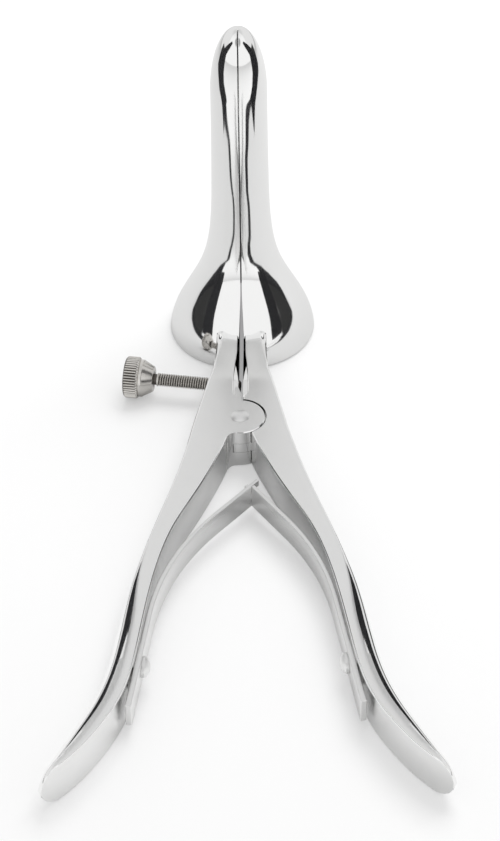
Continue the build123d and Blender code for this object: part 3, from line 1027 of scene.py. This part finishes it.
class Finish:
    """A node tree of a material or of the world."""
    def __init__(self, owner):
        owner.use_nodes = True
        self.tree = owner.node_tree
        self.tree.nodes.clear()

    def node(self, kind, values=None, output=0, **settings):
        """A node with its settings. Each input gets a value that varies, or a fixed one."""
        made = self.tree.nodes.new("ShaderNode" + kind)
        for name, setting in settings.items():
            setattr(made, name, setting)
        for key, value in (values or {}).items():
            if isinstance(value, Value):
                self.tree.links.new(value.socket, made.inputs[key])
            else:
                made.inputs[key].default_value = value
        return Value(self, made.outputs[output])

    def number(self, attribute, output="Fac"):
        """What each point or face of the piece was marked with."""
        return self.node("Attribute", output=output, attribute_name=attribute)

    def curve(self, value, points):
        """A line through points of a value and what it gives, both between 0 and 1."""
        made = self.tree.nodes.new("ShaderNodeValToRGB")
        stops = made.color_ramp.elements
        while len(stops) < len(points):
            stops.new(1)
        for stop, (place, level) in zip(stops, points):
            stop.position, stop.color = place, (level, level, level, 1)
        self.tree.links.new(value.socket, made.inputs["Fac"])
        return Value(self, made.outputs["Color"])

    def noise(self, place, scale, detail=2.0, roughness=0.5):
        return self.node("TexNoise", {"Vector": place, "Scale": scale, "Detail": detail,
                                      "Roughness": roughness})

    def stretched(self, place, factors):
        """A place measured with a different scale along each axis."""
        return self.node("VectorMath", {0: place, 1: factors}, operation="MULTIPLY")

    def colour(self, share, first, second):
        return self.node("Mix", {"Factor": share, "A": (*first, 1), "B": (*second, 1)}, "Result",
                         data_type="RGBA")

    def shown(self, surface, kind="OutputMaterial"):
        self.tree.links.new(surface.socket, self.tree.nodes.new("ShaderNode" + kind).inputs["Surface"])


def steel(name, build):
    """A metal whose colour, roughness and relief are given by build."""
    material = bpy.data.materials.new(name)
    finish = Finish(material)
    colour, roughness, relief = build(finish)
    normal = finish.node("Bump", {"Height": relief, "Distance": 0.001, "Strength": 1.0})
    finish.shown(finish.node("BsdfPrincipled", {"Base Color": colour, "Roughness": roughness,
                                                "Normal": normal, "Metallic": 1.0}))
    return material


# %% [markdown]
# ### Polished steel
# A hand-held buff leaves a surface that is very bright but not quite even: reflected edges run a little
# wavy. The satin faces carry fine lines along the lever, and the whole has a few hair scratches.

# %% Polished steel
def polished_steel(finish):
    place = finish.node("TexCoord", output="Object")
    satin = finish.number("satin")
    swell = finish.noise(place, 95, 1.0)
    lines = finish.noise(finish.stretched(place, (2600, 60, 2600)), 1.0, 3.0, 0.6)
    hair = finish.noise(finish.stretched(place, (900, 70, 500)), 1.0, 2.0).between(0.72, 0.8)
    cloud = finish.noise(place, 210, 3.0)
    relief = swell * 0.035 + satin * lines * 0.006
    roughness = 0.045 + cloud * 0.03 + hair * 0.05 + satin * (0.2 + 0.1 * lines)
    colour = finish.colour(satin * 0.5 + cloud * 0.2, (0.9, 0.9, 0.895), (0.8, 0.8, 0.795))
    return colour, roughness, relief


# %% [markdown]
# ### Spring steel
# The springs were ground lengthwise and then bent, so the grinding lines follow the strip. Each point
# carries its distance along the strip and across it, and the lines are drawn in those two distances.

# %% Distances along a spring
def mark_grain(piece, side):
    """Each point gets its distance along the strip, away from the handle and up."""
    near, _ = spring_edges(side, 3.0)
    turn = np.array(side_place(side))[:2, :2]
    line = np.array(near) @ turn.T
    length = np.concatenate([[0], np.cumsum(np.linalg.norm(np.diff(line, axis=0), axis=1))])
    grain = []
    for vert in piece.data.vertices:
        x, y, z = vert.co / MM
        away = np.hypot(line[:, 0] - x, line[:, 1] - y)
        i = int(np.argmin(away))
        j = i + 1 if i + 1 < len(line) and (i == 0 or away[i + 1] < away[i - 1]) else i - 1
        ahead = float(unit(line[j] - line[i]) @ (np.array([x, y]) - line[i]))
        grain += [(length[i] + math.copysign(ahead, ahead * (j - i))) * MM, away[i] * MM, z * MM]
    mark(piece, "grain", grain, kind="FLOAT_VECTOR")
    return length[-1]


for side, piece in springs.items():
    print(side, "spring is", round(mark_grain(piece, side), 1), "mm long")


# %% Spring steel
def spring_steel(finish):
    place = finish.number("grain", "Vector")
    lines = finish.noise(finish.stretched(place, (35, 2500, 2500)), 1.0, 3.0, 0.65)
    broad = finish.noise(finish.stretched(place, (25, 400, 400)), 1.0, 2.0)
    relief = lines * 0.012 + broad * 0.01
    roughness = 0.2 + 0.14 * lines + 0.06 * broad
    colour = finish.colour(0.6 * lines + 0.4 * broad, (0.72, 0.72, 0.715), (0.86, 0.86, 0.855))
    return colour, roughness, relief


# %% [markdown]
# ### Screw steel
# The screw is turned from the bar, so its marks run round it. Its grey is warmer. The roots of the
# thread, the undercut and the roots of the knurl carry painted shade: their colour is darkened, and they
# are rougher.

# %% Screw steel
def screw_steel(finish):
    place = finish.node("TexCoord", output="Object")
    turned = screw_place.inverted()
    own = finish.node("Mapping", {"Vector": place, "Location": tuple(turned.translation),
                                  "Rotation": tuple(turned.to_euler())})
    marks = finish.noise(finish.stretched(own, (60, 60, 4200)), 1.0, 2.0, 0.6)
    cloud = finish.noise(place, 260, 3.0)
    # Painted shade: points deep in the thread, the undercut and the knurl are darkened in the colour.
    dark = finish.number("groove").between(0.4, 0.95)
    relief = marks * 0.012
    roughness = 0.17 + 0.1 * marks + 0.15 * dark
    colour = finish.colour(dark * 0.92 + cloud * 0.08, (0.7, 0.68, 0.65), (0.1, 0.09, 0.08))
    return colour, roughness, relief


# %% Give the finishes to the pieces
def wear(piece, material):
    piece.data.materials.clear()
    piece.data.materials.append(material)


polished = steel("polished_steel", polished_steel)
spring_metal = steel("spring_steel", spring_steel)
screw_metal = steel("screw_steel", screw_steel)
for piece in [*halves.values(), *rivets.values(), joint_rivet]:
    wear(piece, polished)
for piece in springs.values():
    wear(piece, spring_metal)
wear(screw, screw_metal)
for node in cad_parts.values():
    wear(node, polished)

# %% [markdown]
# ## Table and light
# The instrument lies on white paper under one large soft light. Polished steel needs dark things to reflect
# as well as light ones, or it looks like white plastic. Where they stand was worked out backwards, from
# where dark bands belong on the steel. On the table they are a dark fan at each side of the blades. Only
# rays that come off the metal see it: the camera sees white paper with soft shadows.

# %% Sums for table and room
def rays(finish):
    """1 for rays from the camera, and 1 for rays that come off a shiny surface."""
    return [finish.node("LightPath", output=name) for name in ("Is Camera Ray", "Is Glossy Ray")]


def distance(finish, place, point):
    return finish.node("VectorMath", {0: place, 1: point}, "Value", operation="DISTANCE")


def split(finish, vector):
    parts = finish.tree.nodes.new("ShaderNodeSeparateXYZ")
    finish.tree.links.new(vector.socket, parts.inputs[0])
    return [Value(finish, socket) for socket in parts.outputs]


def turned_from_front(finish, x, y):
    """The angle to either side of the front, as a share of half a turn."""
    side = finish.node("Math", {0: x}, operation="ABSOLUTE")
    return finish.node("Math", {0: side, 1: 0 - y}, operation="ARCTAN2") * (1 / math.pi)


def mixed(finish, share, first, second):
    return finish.node("MixShader", {0: share, 1: first, 2: second})


def matt(finish, colour):
    return finish.node("BsdfDiffuse", {"Color": colour if isinstance(colour, Value) else (*colour, 1)})


# %% Fans on the table
# Distance in mm and angle in degrees, for the edge of a fan near the front and the one far from it.
fans = [([(78, 19), (92, 30), (113, 35), (124, 47), (150, 52), (200, 56), (390, 61)],
         [(78, 28), (92, 40), (113, 46), (124, 64), (140, 71), (186, 82), (326, 96), (400, 101)]),
        ([(78, 28), (86, 21), (102, 19), (113, 23), (128, 25), (153, 44), (214, 55), (388, 61)],
         [(78, 40), (86, 33), (102, 33), (113, 38), (123, 41), (129, 47), (140, 63), (188, 80),
          (293, 96), (400, 101)])]
fan_centre, fan_reach = (0, 0.05, 0), 400
fan_start, front_start, fan_edge = (0.17, 0.19), (0.2, 0.3), 0.012
black, grey_paper, lit_paper, white_paper = (0.03, 0.03, 0.032), (0.7,) * 3, (0.93,) * 3, (0.9,) * 3


def edge_angle(finish, away, points):
    """Angle of a fan's edge at a distance, both as shares of their full range."""
    return finish.curve(away, [(mm / fan_reach, degrees / 180) for mm, degrees in points])


def paper_surface(finish):
    """The left fan is used left of the middle, and the right fan right of it."""
    camera_ray, glossy_ray = rays(finish)
    place = finish.node("TexCoord", output="Object")
    x, y, _ = split(finish, place)
    away = distance(finish, place, fan_centre) * (1 / (fan_reach * MM))
    angle = turned_from_front(finish, x, y - fan_centre[1])
    on_right = x.between(-0.001, 0.001)
    dark, front = 0, 0
    for edges, here in zip(fans, (1 - on_right, on_right)):
        near, far = (edge_angle(finish, away, points) for points in edges)
        dark = dark + (angle - near).between(0, fan_edge) * (far - angle).between(0, fan_edge) * here
        front = front + (near - angle).between(-0.01, 0.005) * here
    lit = finish.colour(front * away.between(*front_start), grey_paper, lit_paper)
    paper = matt(finish, white_paper)
    white = finish.node("Emission", {"Color": (1, 1, 1, 1), "Strength": 1.0})
    reflected = mixed(finish, dark * away.between(*fan_start), matt(finish, lit), matt(finish, black))
    seen = mixed(finish, 0.35, paper, white)
    finish.shown(mixed(finish, camera_ray, mixed(finish, glossy_ray, paper, reflected), seen))


# %% Table
def add_floor():
    fresh()
    bpy.ops.mesh.primitive_plane_add(size=6, location=(0, 0, -0.0001))
    floor = named("floor")
    return floor


floor = add_floor()
table_paper = bpy.data.materials.new("table_paper")
paper_surface(Finish(table_paper))
wear(floor, table_paper)
print("table of", floor.dimensions.x, "m, with", len(fans), "dark fans")

# %% [markdown]
# ### Black cards
# The long dark bands on the backs of the handles can't come from the table, because those faces look
# sideways. A studio stands black cards beside the object for them. One card stands at each side here, cut
# to the shape of the band. The camera and the paper don't see it.

# %% Black cards
card_distance = 90
card_outline = [(-34, 12), (-30, 24), (-12, 46), (4, 62), (12, 76), (5, 92), (5, 108), (-30, 143),
                (-74, 200), (-40, 200), (10, 146), (38, 117), (54, 94), (58, 84), (46, 73), (34, 48),
                (19, 26), (8, 12)]


def black_card(side, paint):
    out = card_distance if side == "right" else -card_distance
    card = loop_piece("card_" + side, [(out, y, height) for y, height in card_outline], fill="NGON")
    card.visible_camera = card.visible_diffuse = card.visible_shadow = card.visible_transmission = False
    wear(card, paint)


black_paint = bpy.data.materials.new("card_paint")
finish = Finish(black_paint)
finish.shown(matt(finish, black))
for side in ("left", "right"):
    black_card(side, black_paint)
print("cards", card_distance, "mm to each side, with", len(card_outline), "corners")

# %% [markdown]
# ### Room and lamp
# The room is one even light, so the shadows are soft. In the metal its walls are a little darker above, and
# low at the sides and where the camera stands they are dark, as a real room is.

# %% Room and lamp
camera_way, camera_patch = (0.0, -0.755, 0.656), (0.18, 0.3)
wall_near, wall_far, wall_top = (0.36, 0.38), (0.55, 0.57), (0.12, 0.18)
front_edge, above_edge = (0.34, 0.37), (0.75, 0.97)


def room(finish):
    """White to the camera. Only the metal sees the dark places."""
    camera_ray, glossy_ray = rays(finish)
    way = finish.node("TexCoord", output="Generated")
    x, y, z = split(finish, way)
    angle = turned_from_front(finish, x, y)
    side_wall = angle.between(*wall_near) * (1 - angle.between(*wall_far)) * (1 - z.between(*wall_top))
    camera_place = 1 - distance(finish, way, camera_way).between(*camera_patch)
    front, above = 1 - angle.between(*front_edge), z.between(*above_edge)
    mirrored = 0.84 + 0.16 * front - 0.12 * above - 0.8 * side_wall - 0.6 * camera_place
    light = camera_ray + (1 - camera_ray) * (glossy_ray * mirrored + (1 - glossy_ray) * 0.75)
    finish.shown(finish.node("Background", {"Color": (1, 1, 1, 1), "Strength": light}), "OutputWorld")


world = bpy.data.worlds.new("studio")
scene.world = world
room(Finish(world))


def soft_lamp(name, size, place, aim, power):
    data = bpy.data.lights.new(name, "AREA")
    data.shape = "RECTANGLE"
    data.size, data.size_y = size
    data.energy = power
    lamp = bpy.data.objects.new(name, data)
    scene.collection.objects.link(lamp)
    lamp.location = place
    lamp.rotation_euler = (Vector(aim) - Vector(place)).to_track_quat("-Z", "Y").to_euler()
    return lamp


top_light = soft_lamp("top_light", size=(0.6, 0.5), place=(0.2, 0.4, 0.75), aim=(0, 0, 0), power=4)
top_light.visible_glossy = False
print("lamp of", top_light.data.energy, "W at", tuple(round(x, 2) for x in top_light.location))

# %% [markdown]
# ## Colour view
# The plain Standard view keeps white paper white.

# %% Finish
scene.view_settings.view_transform = "Standard"
